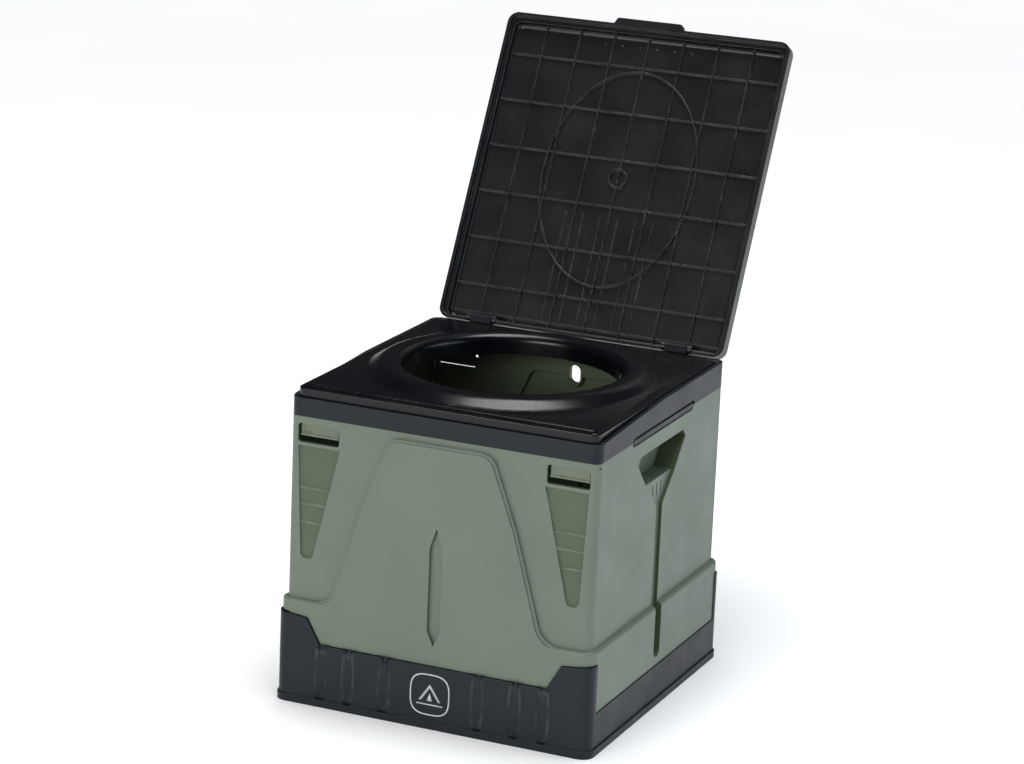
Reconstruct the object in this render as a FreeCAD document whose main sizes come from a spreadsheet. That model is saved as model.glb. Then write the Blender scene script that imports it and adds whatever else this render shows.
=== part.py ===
import FreeCAD, Part
import math
import os
import re
import Sketcher

# Folding camp toilet: a tray, four single-piece walls hinged to it, a top frame that drops over
# the walls, a seat plate and a lid. +X is right, +Y is back, +Z is up, and the origin is the
# middle of the tray's underside. The lid stands open at rest.

os.makedirs("parts", exist_ok=True)
doc = FreeCAD.newDocument("camp_toilet")

# ---------------------------------------------------------------- driving dimensions (mm)

DIMENSIONS = {
    # tray
    "base_half_x": 160, "base_half_y": 163, "base_corner": 12, "base_wall": 2.6, "base_floor": 3,
    "base_rim": 87, "plinth_height": 7, "plinth_step": 1.5,
    "side_cut": 40, "side_cut_half": 147.5,
    "front_cut": 60, "front_cut_half": 114, "shoulder_cut": 84, "shoulder_cut_half": 128,
    # walls
    "wall_half_x": 152.5, "wall_half_y": 154, "wall_corner": 6, "wall_skin": 2.8,
    "wall_top": 274.5, "wall_foot": 59.5, "seam": 147.5, "gap": 0.3,
    "band_step": 5, "band_top": 100, "tuck_height": 8, "tuck_skin": 2,
    "tuck_half": 140,
    # relief of the front and rear walls
    "relief_top": 266, "relief_top_half": 49, "relief_mid": 200, "relief_mid_half": 75,
    "relief_foot_half": 104.6, "relief_round": 24, "relief_proud": 5,
    "shoulder_wide": 2.5, "shoulder_proud": 3.2,
    "spindle_top": 192, "spindle_foot": 79, "spindle_half": 6.5, "spindle_depth": 4,
    "wedge_out": 144.4, "wedge_in": 102, "wedge_top": 247, "wedge_tip": 139, "wedge_depth": 2.2,
    "wedge_tip_out": 139.4, "wedge_tip_in": 127.6, "wedge_round": 5.6,
    # latch windows
    "window_in": 103, "window_out": 145, "window_foot": 250, "window_top": 268,
    "tongue_in": 105.2, "tongue_out": 143.2, "tongue_foot": 256, "tongue_back": 148.8, "tongue_face": 150.4,
    "latch_pivot_y": 149.6, "latch_pivot_z": 270.4, "latch_pin": 1.2,
    "ear_near": 98.5, "ear_far": 145.8,
    "vent_half": 6, "vent_foot": 254, "vent_top": 272.5, "vent_rim": 2.4, "sill_top": 255.2,
    # side walls
    "grip_half": 35, "grip_wide": 59, "grip_foot": 222, "grip_corner": 249, "grip_top": 256,
    "grip_depth": 22, "stem_half": 7.5, "stem_foot": 48, "neck": 196, "stem_floor": 149,
    "bar_half": 76, "bar_radius": 5, "bar_recess": 2.3,
    # wall hinges
    "fold_x": 146, "fold_z": 46, "fold_rod": 1.8, "fold_station": 100,
    "pivot_y": 152.6, "pivot_pin": 1.5, "pivot_in": 117, "pivot_out": 144,
    "post_near": 8.3, "post_far": 16, "knuckle_half": 8,
    # top frame
    "frame_half_x": 153.5, "frame_half_y": 155, "frame_corner": 10, "frame_skin": 3,
    "frame_foot": 275, "frame_ledge": 292, "frame_rear": 299.4, "frame_mouth": 118,
    # seat plate
    "plate_half_x": 149, "plate_front": 151, "plate_corner": 8, "plate_top": 301, "plate_foot": 292.5,
    "plate_skin": 3, "seat_y": -3, "seat_mouth": 101.5, "seat_foot": 138, "seat_crest": 10,
    "bead_y": 145.5, "bead_rise": 3, "bead_radius": 5,
    "seat_axis_y": 146, "seat_axis_z": 296.8, "seat_barrel": 4.2, "seat_barrel_half": 136.5, "seat_pin": 2,
    # lid, drawn closed
    "lid_half_x": 150, "lid_length": 316, "lid_corner": 11, "lid_foot": 302.4, "lid_top": 318.4,
    "lid_skin": 3, "cove": 5, "lid_open": 117.6, "lid_axis_y": 156, "lid_axis_z": 304, "lid_pin": 2.2,
    "lid_tail": 4.2,
    "clip_x": 103, "clip_half": 11, "ear_half": 15.5, "ear_radius": 4.4,
    "rib_wide": 1.3, "rib_deep": 2.6, "rib_pitch": 48, "rib_first": 36, "rib_across": 36.7,
    "fine_pitch": 18.4, "oval_back": 161, "oval_half_long": 110, "oval_half_wide": 79, "boss_radius": 9.8,
    "tab_half": 38, "tab_reach": 6, "drain": 0.7,
    # shared
    "running": 0.08, "screw_radius": 1.4, "screw_shift": 6, "screw_z": 286, "clip_skin": 3.2,
}


def make_sheet():
    """Puts every driving dimension in a spreadsheet cell that carries its name."""
    cells = doc.addObject("Spreadsheet::Sheet", "dims")
    for row, (alias, size) in enumerate(DIMENSIONS.items(), start=1):
        cells.set(f"A{row}", alias)
        cells.set(f"B{row}", str(size))
        cells.setAlias(f"B{row}", alias)
    doc.recompute()
    return cells


sheet = make_sheet()


def bound(formula):
    """Writes a formula of plain dimension names as an expression on the spreadsheet."""
    def cell(match):
        word = match.group()
        return "dims." + word if word in DIMENSIONS else word
    return re.sub(r"[a-z_]+", cell, str(formula))


def number(formula):
    """The present value of a formula."""
    return float(sheet.evalExpression(bound(formula)))


# ---------------------------------------------------------------- sketch and feature helpers

OUTWARD = {"XY_Plane": 1, "XZ_Plane": -1, "YZ_Plane": 1}    # sketch normal along its world axis
bodies = {}


def new_body(label):
    body = doc.addObject("PartDesign::Body", label)
    body.Label = label
    bodies[label] = body
    return body


def new_sketch(body, plane, name, level):
    """A sketch on one of the body's own origin planes, raised to a level along the world axis."""
    sketch = body.newObject("Sketcher::SketchObject", name)
    role = [item for item in body.Origin.OriginFeatures if item.Role == plane][0]
    sketch.AttachmentSupport = [(role, "")]
    sketch.MapMode = "FlatFace"
    sketch.setExpression("AttachmentOffset.Base.z", bound(f"{OUTWARD[plane]}*({level})"))
    return sketch


def corner_points(corners):
    """Start and end of the straight stretch at each corner, with the radius taken off."""
    points = [FreeCAD.Vector(number(c[0]), number(c[1]), 0) for c in corners]
    radii = [number(c[2]) if len(c) > 2 else 0 for c in corners]
    leaving, arriving, centres = [], [], []
    for index, point in enumerate(points):
        back = (points[index - 1] - point).normalize()
        ahead = (points[(index + 1) % len(points)] - point).normalize()
        half = back.getAngle(ahead) / 2
        setback = radii[index] / math.tan(half)
        arriving.append(point + back * setback)
        leaving.append(point + ahead * setback)
        middle = back + ahead
        if radii[index]:
            middle.normalize()
        centres.append(point + middle * (radii[index] / math.sin(half)))
    return points, radii, leaving, arriving, centres


def rounded_corner(sketch, index, corner, before, after, shape):
    """Joins two sides with a tangent arc, and pins the corner that the arc cuts off."""
    points, radii, leaving, arriving, centres = shape
    start = arriving[index] - centres[index]
    end = leaving[index] - centres[index]
    turns_left = start.cross(end).z > 0
    first, last = (start, end) if turns_left else (end, start)
    angles = [math.atan2(v.y, v.x) for v in (first, last)]
    circle = Part.Circle(centres[index], FreeCAD.Vector(0, 0, 1), radii[index])
    arc = sketch.addGeometry(Part.ArcOfCircle(circle, angles[0], angles[1]))
    point = sketch.addGeometry(Part.Point(points[index]), True)
    near, far = (1, 2) if turns_left else (2, 1)
    sketch.addConstraint([
        Sketcher.Constraint("Tangent", before, 2, arc, near),
        Sketcher.Constraint("Tangent", after, 1, arc, far),
        Sketcher.Constraint("PointOnObject", point, 1, before),
        Sketcher.Constraint("PointOnObject", point, 1, after),
    ])
    bind(sketch, "Radius", corner[2], arc)
    bind(sketch, "DistanceX", corner[0], -1, 1, point, 1)
    bind(sketch, "DistanceY", corner[1], -1, 1, point, 1)


def bind(sketch, kind, formula, *where):
    """Adds a dimension whose value is a formula on the spreadsheet."""
    index = sketch.addConstraint(Sketcher.Constraint(kind, *where, number(formula)))
    sketch.setExpression(f"Constraints[{index}]", bound(formula))


def outline(sketch, corners):
    """A closed outline. A corner is (across, up) or (across, up, radius), all formulas."""
    shape = corner_points(corners)
    leaving, arriving = shape[2], shape[3]
    count = len(corners)
    sides = []
    for index in range(count):
        line = Part.LineSegment(leaving[index], arriving[(index + 1) % count])
        sides.append(sketch.addGeometry(line))
    for index, corner in enumerate(corners):
        before, after = sides[index - 1], sides[index]
        if len(corner) > 2:
            rounded_corner(sketch, index, corner, before, after, shape)
            continue
        sketch.addConstraint(Sketcher.Constraint("Coincident", before, 2, after, 1))
        bind(sketch, "DistanceX", corner[0], -1, 1, after, 1)
        bind(sketch, "DistanceY", corner[1], -1, 1, after, 1)


def circle(sketch, across, up, radius):
    centre = FreeCAD.Vector(number(across), number(up), 0)
    ring = sketch.addGeometry(Part.Circle(centre, FreeCAD.Vector(0, 0, 1), number(radius)))
    bind(sketch, "Radius", radius, ring)
    bind(sketch, "DistanceX", across, -1, 1, ring, 3)
    bind(sketch, "DistanceY", up, -1, 1, ring, 3)


def extrude(body, kind, plane, name, level, reach, draw):
    """Pads or pockets what draw(sketch) draws, from one level to another along the world axis."""
    sketch = new_sketch(body, plane, name + "_sketch", level)
    draw(sketch)
    feature = body.newObject("PartDesign::" + kind, name)
    feature.Profile = sketch
    feature.setExpression("Length", bound(f"abs(({reach})-({level}))"))
    rising = (number(reach) > number(level)) == (OUTWARD[plane] > 0)
    feature.Reversed = not rising if kind == "Pad" else rising
    feature.Refine = False
    body.Tip = feature
    return feature


def block(body, kind, plane, name, level, reach, *outlines):
    def draw(sketch):
        for corners in outlines:
            outline(sketch, corners)
    return extrude(body, kind, plane, name, level, reach, draw)


def lug(sketch, across, foot, centre, half, bore):
    """An upright lug: square at its foot, round at its head, with a bore at the head's centre."""
    outline(sketch, [(f"{across}-{half}", foot), (f"{across}+{half}", foot),
                     (f"{across}+{half}", f"{centre}+{half}", f"{half}-0.1"),
                     (f"{across}-{half}", f"{centre}+{half}", f"{half}-0.1")])
    circle(sketch, across, centre, bore)


def rod(body, kind, plane, name, level, reach, across, up, radius):
    return extrude(body, kind, plane, name, level, reach, lambda sk: circle(sk, across, up, radius))


def box(low, high, foot, top, *radius):
    """Corners of a rectangle, anticlockwise from its lowest corner."""
    return [(low, foot, *radius), (high, foot, *radius), (high, top, *radius), (low, top, *radius)]


def soften(body, name, radius, wanted):
    """Rounds the edges that wanted(edge) picks."""
    doc.recompute()
    base = body.Tip
    picked = [f"Edge{i}" for i, edge in enumerate(base.Shape.Edges, start=1) if wanted(edge)]
    fillet = body.newObject("PartDesign::Fillet", name)
    fillet.Base = (base, picked)
    fillet.setExpression("Radius", bound(radius))
    fillet.Refine = False
    body.Tip = fillet


def edge_lies(edge, axis, level, tolerance=0.01):
    """True when the whole edge lies at a level along an axis."""
    box_of_edge = edge.BoundBox
    low = getattr(box_of_edge, axis + "Min")
    high = getattr(box_of_edge, axis + "Max")
    return abs(low - level) < tolerance and abs(high - level) < tolerance


# ---------------------------------------------------------------- tray

def make_base_tray():
    body = new_body("base_tray")
    block(body, "Pad", "XY_Plane", "plinth", "0", "plinth_height",
          box("-base_half_x", "base_half_x", "-base_half_y", "base_half_y", "base_corner"))
    block(body, "Pad", "XY_Plane", "shell", "0", "base_rim",
          box("-base_half_x+plinth_step", "base_half_x-plinth_step",
              "-base_half_y+plinth_step", "base_half_y-plinth_step", "base_corner-plinth_step"))
    inside_x, inside_y = "(base_half_x-plinth_step-base_wall)", "(base_half_y-plinth_step-base_wall)"
    block(body, "Pocket", "XY_Plane", "hollow", "base_floor", "base_rim+1",
          box("-" + inside_x, inside_x, "-" + inside_y, inside_y, "base_corner-plinth_step-base_wall"))
    block(body, "Pocket", "YZ_Plane", "side_openings", "-base_half_x-1", "base_half_x+1",
          box("-side_cut_half", "side_cut_half", "side_cut", "base_rim+1"))
    rim = [("-front_cut_half", "front_cut"), ("front_cut_half", "front_cut"),
           ("shoulder_cut_half", "shoulder_cut"), ("base_half_x", "base_rim"),
           ("base_half_x", "base_rim+9"), ("-base_half_x", "base_rim+9"),
           ("-base_half_x", "base_rim"), ("-shoulder_cut_half", "shoulder_cut")]
    block(body, "Pocket", "XZ_Plane", "front_openings", "-base_half_y-1", "base_half_y+1", rim)
    add_fold_posts(body)
    add_pivot_lugs(body, inside_y)
    add_floor_ribs(body)
    return body


def add_fold_posts(body):
    """Four posts a side that carry the side walls' hinge rods."""
    def draw(sketch):
        for side in (-1, 1):
            lug(sketch, f"{side}*fold_x", "base_floor-1", "fold_z", "3.5", "fold_rod")
    for end in (-1, 1):
        for inner in (-1, 1):
            extrude(body, "Pad", "XZ_Plane", f"posts_{end + 1}_{inner + 1}",
                    f"{end}*fold_station+{inner}*post_near", f"{end}*fold_station+{inner}*post_far", draw)


def add_pivot_lugs(body, inside_y):
    """Two lugs at each corner that carry the front and rear walls' hinge pins."""
    def draw(sketch):
        for end in (-1, 1):
            root, nose = f"{end}*({inside_y}+1)", f"{end}*(pivot_y-3.2)"
            corners = [(root, "wall_foot-3.2"), (nose, "wall_foot-3.2", "3"),
                       (nose, "wall_foot+3.2", "3"), (root, "wall_foot+3.2")]
            outline(sketch, corners)
            circle(sketch, f"{end}*pivot_y", "wall_foot", "pivot_pin")
    for side in (-1, 1):
        extrude(body, "Pad", "YZ_Plane", f"inner_lugs_{side + 1}",
                f"{side}*pivot_in", f"{side}*(pivot_in+6.7)", draw)
        extrude(body, "Pad", "YZ_Plane", f"outer_lugs_{side + 1}",
                f"{side}*(pivot_out-5.7)", f"{side}*pivot_out", draw)


def add_floor_ribs(body):
    """Shallow ribs that stiffen the floor."""
    ribs = [box(f"{step}*60-1", f"{step}*60+1", "-130", "130") for step in (-2, -1, 0, 1, 2)]
    block(body, "Pad", "XY_Plane", "floor_ribs", "base_floor-1", "base_floor+2", *ribs)


# ---------------------------------------------------------------- front and rear walls

def wall_channel(step, side_reach):
    """Plan of a wall with a return round each corner, step proud of the plain wall."""
    outer_x, outer_y = f"(wall_half_x+{step})", f"(wall_half_y+{step})"
    inner_x, inner_y = "(wall_half_x-wall_skin)", "(wall_half_y-wall_skin)"
    round_out, round_in = f"wall_corner+{step}", "wall_corner-wall_skin"
    return [("-" + outer_x, "-" + outer_y, round_out), (outer_x, "-" + outer_y, round_out),
            (outer_x, side_reach), (inner_x, side_reach),
            (inner_x, "-" + inner_y, round_in), ("-" + inner_x, "-" + inner_y, round_in),
            ("-" + inner_x, side_reach), ("-" + outer_x, side_reach)]


def relief_outline(inset, reaches_seam):
    """The raised panel of an end wall. It runs down into the tray's opening and out to the seams."""
    tuck = "0" if reaches_seam else inset
    low = [(f"(front_cut_half-gap-{tuck})", f"front_cut+gap+{tuck}")]
    if reaches_seam:
        low += [("(shoulder_cut_half-gap)", "shoulder_cut+gap"), ("seam-1.5", "base_rim+gap-1"),
                ("seam-1.5", f"band_top-3-{inset}"),
                (f"relief_foot_half-{inset}", f"band_top-3-{inset}", f"relief_round+{inset}")]
    else:
        low += [(f"relief_foot_half-{inset}", "band_top-3")]
    right = low + [(f"relief_mid_half-{inset}", "relief_mid", "40"),
                   (f"relief_top_half-{inset}", f"relief_top-{inset}", f"14-{inset}")]
    left = [(f"-({c[0]})", *c[1:]) for c in reversed(right)]
    return right + left


def wedge_outline(side, inset):
    """The tapered recess under a latch window, with a round tip."""
    return [(f"{side}*(wedge_in+{inset})", f"wedge_top-{inset}"),
            (f"{side}*(wedge_out-{inset})", f"wedge_top-{inset}"),
            (f"{side}*(wedge_tip_out-{inset})", f"wedge_tip+{inset}", f"wedge_round-{inset}"),
            (f"{side}*(wedge_tip_in+{inset})", f"wedge_tip+{inset}", f"wedge_round-{inset}")]


def wedge_rib(level):
    """A fine rib across the right-hand recess at a level."""
    drop = f"(wedge_top-{level})/(wedge_top-wedge_tip)"
    near = f"wedge_in+(wedge_tip_in-wedge_in)*{drop}"
    far = f"wedge_out-(wedge_out-wedge_tip_out)*{drop}"
    return box(near + "-0.3", far + "+0.3", str(level), f"{level}+1.2")


def make_end_wall(label, rear):
    """The front wall; the rear wall is the same shape turned round, with a vent slot."""
    body = new_body(label)
    front, inner = "-wall_half_y", "-(wall_half_y-wall_skin)"
    proud = "-(wall_half_y+relief_proud)"
    block(body, "Pad", "XY_Plane", "skin", "wall_foot", "wall_top", wall_channel("0", "-seam-gap"))
    block(body, "Pad", "XY_Plane", "band", "base_rim+gap", "band_top",
          wall_channel("band_step", "-seam-gap"))
    soften(body, "band_shoulder", "3", lambda e: edge_lies(e, "Z", number("band_top"))
           and on_band(e))
    block(body, "Pad", "XZ_Plane", "panel_shoulder", inner, "-(wall_half_y+shoulder_proud)",
          relief_outline("(-shoulder_wide)", True))
    block(body, "Pad", "XZ_Plane", "raised_panel", inner, proud, relief_outline("0", True))
    block(body, "Pocket", "XZ_Plane", "raised_panel_hollow", inner + "+1", proud + "+wall_skin",
          relief_outline("4", False))
    block(body, "Pad", "XZ_Plane", "spindle_back", inner, proud + "+wall_skin-1",
          box("-spindle_half-3", "spindle_half+3", "spindle_foot-4", "spindle_top+4"))
    spindle = [("0", "spindle_top"), ("-spindle_half", "spindle_top-20"),
               ("-spindle_half", "spindle_foot+14"), ("0", "spindle_foot"),
               ("spindle_half", "spindle_foot+14"), ("spindle_half", "spindle_top-20")]
    block(body, "Pocket", "XZ_Plane", "spindle", proud + "-1", proud + "+spindle_depth", spindle)
    add_latch_windows(body, front, inner)
    add_pivot_knuckles(body)
    block(body, "Pad", "XY_Plane", "tuck", "wall_top-1", "wall_top+tuck_height",
          box("-tuck_half", "tuck_half", inner, inner + "+tuck_skin"))
    if rear:
        add_vent(body, proud, inner)
        body.Placement = FreeCAD.Placement(FreeCAD.Vector(), FreeCAD.Rotation(180, 0, 0))
    return body


def on_band(edge):
    """True for an edge on the outer face of the low band."""
    bounds = edge.BoundBox
    on_front = abs(bounds.YMin + number("wall_half_y+band_step")) < 0.01
    on_side = bounds.XLength < 0.01 and abs(abs(bounds.XMin) - number("wall_half_x+band_step")) < 0.01
    return on_front or on_side


def mirrored(corners, side):
    """The corners of one side, or the same corners on the other side."""
    return [(f"{side}*({c[0]})", *c[1:]) for c in corners]


def add_latch_windows(body, front, inner):
    """Windows for the latch tongues, their bearing ears, and the tapered recess under each."""
    both = (-1, 1)
    block(body, "Pad", "XZ_Plane", "wedge_backs", inner + "-0.5", inner + "+2",
          *[wedge_outline(side, "-3") for side in both])
    block(body, "Pocket", "XZ_Plane", "wedges", front + "-1", front + "+wedge_depth",
          *[wedge_outline(side, "0") for side in both])
    window = box("window_in", "window_out", "window_foot", "window_top", "3")
    block(body, "Pocket", "XZ_Plane", "windows", front + "-1", inner + "+3",
          *[mirrored(window, side) for side in both])
    ribs = [wedge_rib(level) for level in (206, 190.5, 173)]
    block(body, "Pad", "XZ_Plane", "wedge_ribs", front + "+wedge_depth+0.3", front + "+wedge_depth-0.9",
          *[mirrored(rib, side) for rib in ribs for side in both])
    ears = [box(near, far, "latch_pivot_z-2.6", "latch_pivot_z+2.6")
            for near, far in (("ear_near", "ear_near+3.5"), ("ear_far", "ear_far+3"))]
    block(body, "Pad", "XZ_Plane", "latch_ears", inner + "-0.5", "-wall_half_y+6.5",
          *[mirrored(ear, side) for ear in ears for side in both])
    rod(body, "Pocket", "YZ_Plane", "latch_bores", "-wall_half_x", "wall_half_x",
        "-latch_pivot_y", "latch_pivot_z", "latch_pin+running")


def add_pivot_knuckles(body):
    """Knuckles that turn on the hinge pins, with room either side for the tray's lugs."""
    room = box("pivot_in-0.4", "pivot_out+0.4", "wall_foot-1", "wall_foot+3.6")
    block(body, "Pocket", "XZ_Plane", "lug_room", "-wall_half_y-1", "-wall_half_y+wall_skin+1",
          *[mirrored(room, side) for side in (-1, 1)])

    def draw(sketch):
        outline(sketch, [("-pivot_y-3.2", "wall_foot-3.2", "3"), ("-pivot_y+3.2", "wall_foot-3.2", "3"),
                         ("-pivot_y+3.2", "wall_foot+3.6"), ("-wall_half_y+wall_skin", "wall_foot+5"),
                         ("-wall_half_y", "wall_foot+5"), ("-pivot_y-3.2", "wall_foot+3")])
        circle(sketch, "-pivot_y", "wall_foot", "pivot_pin+running")
    for side in (-1, 1):
        extrude(body, "Pad", "YZ_Plane", f"knuckle_{side + 1}",
                f"{side}*(pivot_in+7.1)", f"{side}*(pivot_out-6.1)", draw)


def add_vent(body, proud, inner):
    """An upright slot with a rim, near the top of the rear wall, and a surround behind each window."""
    rim = box("-vent_half-vent_rim", "vent_half+vent_rim", "vent_foot-vent_rim", "wall_top-0.1",
              "vent_half+vent_rim-0.1")
    slot = box("-vent_half", "vent_half", "vent_foot", "vent_top", "vent_half-0.1")
    block(body, "Pad", "XZ_Plane", "vent_rim_pad", inner, proud, rim)
    block(body, "Pocket", "XZ_Plane", "vent", proud + "-1", inner + "+1", slot)
    near, far, top = "tongue_in-0.4", "tongue_out+0.4", "window_top-2"
    surround = box("window_in-1", "window_out+1", "window_foot-6", top)
    surround[3:3] = [(far, top), (far, "sill_top"), (near, "sill_top"), (near, top)]
    block(body, "Pad", "XZ_Plane", "surrounds", inner + "+1.2", inner + "+3.7",
          *[mirrored(surround, side) for side in (-1, 1)])


# ---------------------------------------------------------------- side walls

def grip_outline(grow):
    """The funnel-shaped hand-hold, in the plane of the side wall."""
    return [(f"-grip_half-{grow}*0.8", f"grip_foot-{grow}"), (f"grip_half+{grow}*0.8", f"grip_foot-{grow}"),
            (f"grip_wide+{grow}", "grip_corner"), (f"grip_wide-7+{grow}*0.5", f"grip_top+{grow}"),
            (f"-grip_wide+7-{grow}*0.5", f"grip_top+{grow}"), (f"-grip_wide-{grow}", "grip_corner")]


def funnel_outline(grow):
    """The funnel under the hand-hold and its long stem, in one outline."""
    return [(f"-stem_half-{grow}", f"stem_foot-{grow}", f"stem_half+{grow}-0.1"),
            (f"stem_half+{grow}", f"stem_foot-{grow}", f"stem_half+{grow}-0.1"),
            (f"stem_half+{grow}", "neck"), (f"grip_half+{grow}", "grip_foot"),
            (f"grip_half+{grow}-2", "grip_foot+6"), (f"-grip_half-{grow}+2", "grip_foot+6"),
            (f"-grip_half-{grow}", "grip_foot"), (f"-stem_half-{grow}", "neck")]


def make_side_wall(label, side):
    """The right wall; the left wall is the same shape turned round."""
    body = new_body(label)
    outer, inner = "wall_half_x", "wall_half_x-wall_skin"
    proud = "wall_half_x+band_step"
    reach = "(side_cut_half-gap)"
    block(body, "Pad", "YZ_Plane", "skin", inner, outer,
          box("-" + reach, reach, "side_cut+gap", "wall_top"))
    block(body, "Pad", "YZ_Plane", "band", inner, proud,
          box("-" + reach, reach, "side_cut+gap", "band_top"))
    soften(body, "band_shoulder", "4", lambda e: edge_lies(e, "Z", number("band_top"))
           and edge_lies(e, "X", number(proud)))
    cells = [box(low, high, "side_cut+5", "band_top-5")
             for low, high in (("-142", "-118"), ("-82", "-12"), ("12", "82"), ("118", "142"))]
    block(body, "Pocket", "YZ_Plane", "band_cells", inner + "-1", proud + "-wall_skin", *cells)
    block(body, "Pad", "YZ_Plane", "grip_back", inner + "+0.5", "wall_half_x-grip_depth-2",
          grip_outline("2.5"))
    block(body, "Pad", "YZ_Plane", "funnel_back", inner + "+0.5", "stem_floor-2", funnel_outline("2.5"))
    block(body, "Pocket", "YZ_Plane", "grip", "wall_half_x-grip_depth", proud + "+1", grip_outline("0"))
    block(body, "Pocket", "YZ_Plane", "funnel", "stem_floor", proud + "+1", funnel_outline("0"))
    slits = [box(f"{shift}-0.8", f"{shift}+0.8", f"{foot}", "grip_foot-5")
             for shift, foot in ((-10, 207), (0, 203), (10, 207))]
    block(body, "Pocket", "YZ_Plane", "slits", "stem_floor-1.2", "stem_floor+1", *slits)
    add_catch_recess(body, inner)
    for end in (-1, 1):
        add_fold_knuckle(body, end)
    if side < 0:
        body.Placement = FreeCAD.Placement(FreeCAD.Vector(), FreeCAD.Rotation(180, 0, 0))
    return body


def add_catch_recess(body, inner):
    """The tongue that tucks inside the top frame, and the recess for the frame's long catch bar."""
    block(body, "Pad", "YZ_Plane", "tuck", inner + "-tuck_skin", inner,
          box("-tuck_half", "tuck_half", "wall_top-6", "wall_top+tuck_height"))
    block(body, "Pocket", "YZ_Plane", "catch_recess", "wall_half_x-bar_recess", "wall_half_x+1", bar_slot())


def bar_slot():
    """The long slot across the seam between a side wall and the top frame."""
    return box("-bar_half", "bar_half", "frame_foot-bar_radius", "frame_foot+bar_radius", "bar_radius-0.1")


def add_fold_knuckle(body, end):
    """A knuckle that turns on its hinge rod between two posts of the tray."""
    def draw(sketch):
        outline(sketch, [("fold_x-4", "fold_z-4", "3.9"), ("wall_half_x-1", "fold_z-4"),
                         ("wall_half_x-1", "fold_z+4"), ("fold_x-4", "fold_z+4", "3.9")])
        circle(sketch, "fold_x", "fold_z", "fold_rod+running")
    extrude(body, "Pad", "XZ_Plane", f"knuckle_{end + 1}",
            f"{end}*fold_station-knuckle_half", f"{end}*fold_station+knuckle_half", draw)


# ---------------------------------------------------------------- latches and hinge pins

def make_latch(label, side, rear):
    """A press-in tongue that swings on a thin pin moulded along its top edge."""
    body = new_body(label)
    low, high = sorted([f"{side}*tongue_in", f"{side}*tongue_out"], key=number)
    web = "window_top-3.2"
    block(body, "Pad", "XZ_Plane", "tongue", "-tongue_back", "-tongue_face",
          box(low, high, "tongue_foot", "window_top-0.8", "1.5"))
    block(body, "Pad", "XZ_Plane", "lip", "-tongue_face+0.5", "-tongue_face-1.2",
          box(low, high, "tongue_foot", "tongue_foot+1.6"))
    block(body, "Pad", "XZ_Plane", "web", "-latch_pivot_y+1", "-tongue_face",
          box(low, high, web, "window_top-0.8"))
    block(body, "Pad", "XZ_Plane", "riser", "-latch_pivot_y+1", "-latch_pivot_y-0.8",
          box(low, high, web, "latch_pivot_z"))
    rod(body, "Pad", "YZ_Plane", "pin", f"{side}*(ear_near+0.5)", f"{side}*(ear_far+2.4)",
        "-latch_pivot_y", "latch_pivot_z", "latch_pin")
    if side < 0:
        notch = box("-tongue_out+2", "-tongue_out+11", "tongue_foot+2.8", "tongue_foot+9")
        block(body, "Pocket", "XZ_Plane", "notch", "-tongue_face-1", "-tongue_face+1.1", notch)
    if rear:
        body.Placement = FreeCAD.Placement(FreeCAD.Vector(), FreeCAD.Rotation(180, 0, 0))
    return body


def make_rods(label, radius, plane, spans):
    """A group of plain round pins that share one axis or two."""
    pins = []
    for low, high, across, up in spans:
        start, stop = number(low), number(high)
        length = stop - start
        if plane == "XZ_Plane":
            base = FreeCAD.Vector(number(across), start, number(up))
            direction = FreeCAD.Vector(0, 1, 0)
        else:
            base = FreeCAD.Vector(start, number(across), number(up))
            direction = FreeCAD.Vector(1, 0, 0)
        pins.append(Part.makeCylinder(number(radius), length, base, direction))
    group = doc.addObject("Part::Feature", label)
    group.Label = label
    group.Shape = Part.makeCompound(pins)
    bodies[label] = group
    return group


def make_all_rods():
    for label, side in (("left_fold_rods", -1), ("right_fold_rods", 1)):
        spans = [(f"{end}*fold_station-post_far", f"{end}*fold_station+post_far", f"{side}*fold_x", "fold_z")
                 for end in (-1, 1)]
        make_rods(label, "fold_rod", "XZ_Plane", spans)
    for label, end in (("front_pivot_pins", -1), ("rear_pivot_pins", 1)):
        spans = [("-pivot_out", "-pivot_in", f"{end}*pivot_y", "wall_foot"),
                 ("pivot_in", "pivot_out", f"{end}*pivot_y", "wall_foot")]
        make_rods(label, "pivot_pin", "YZ_Plane", spans)
    seat = [("-seat_barrel_half-11", "-seat_barrel_half+11", "seat_axis_y", "seat_axis_z"),
            ("seat_barrel_half-11", "seat_barrel_half+11", "seat_axis_y", "seat_axis_z")]
    make_rods("seat_hinge_pins", "seat_pin", "YZ_Plane", seat)
    lid = [(f"{side}*clip_x-ear_half", f"{side}*clip_x+ear_half", "lid_axis_y", "lid_axis_z")
           for side in (-1, 1)]
    make_rods("lid_hinge_pins", "lid_pin", "YZ_Plane", lid)


# ---------------------------------------------------------------- top frame

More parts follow.
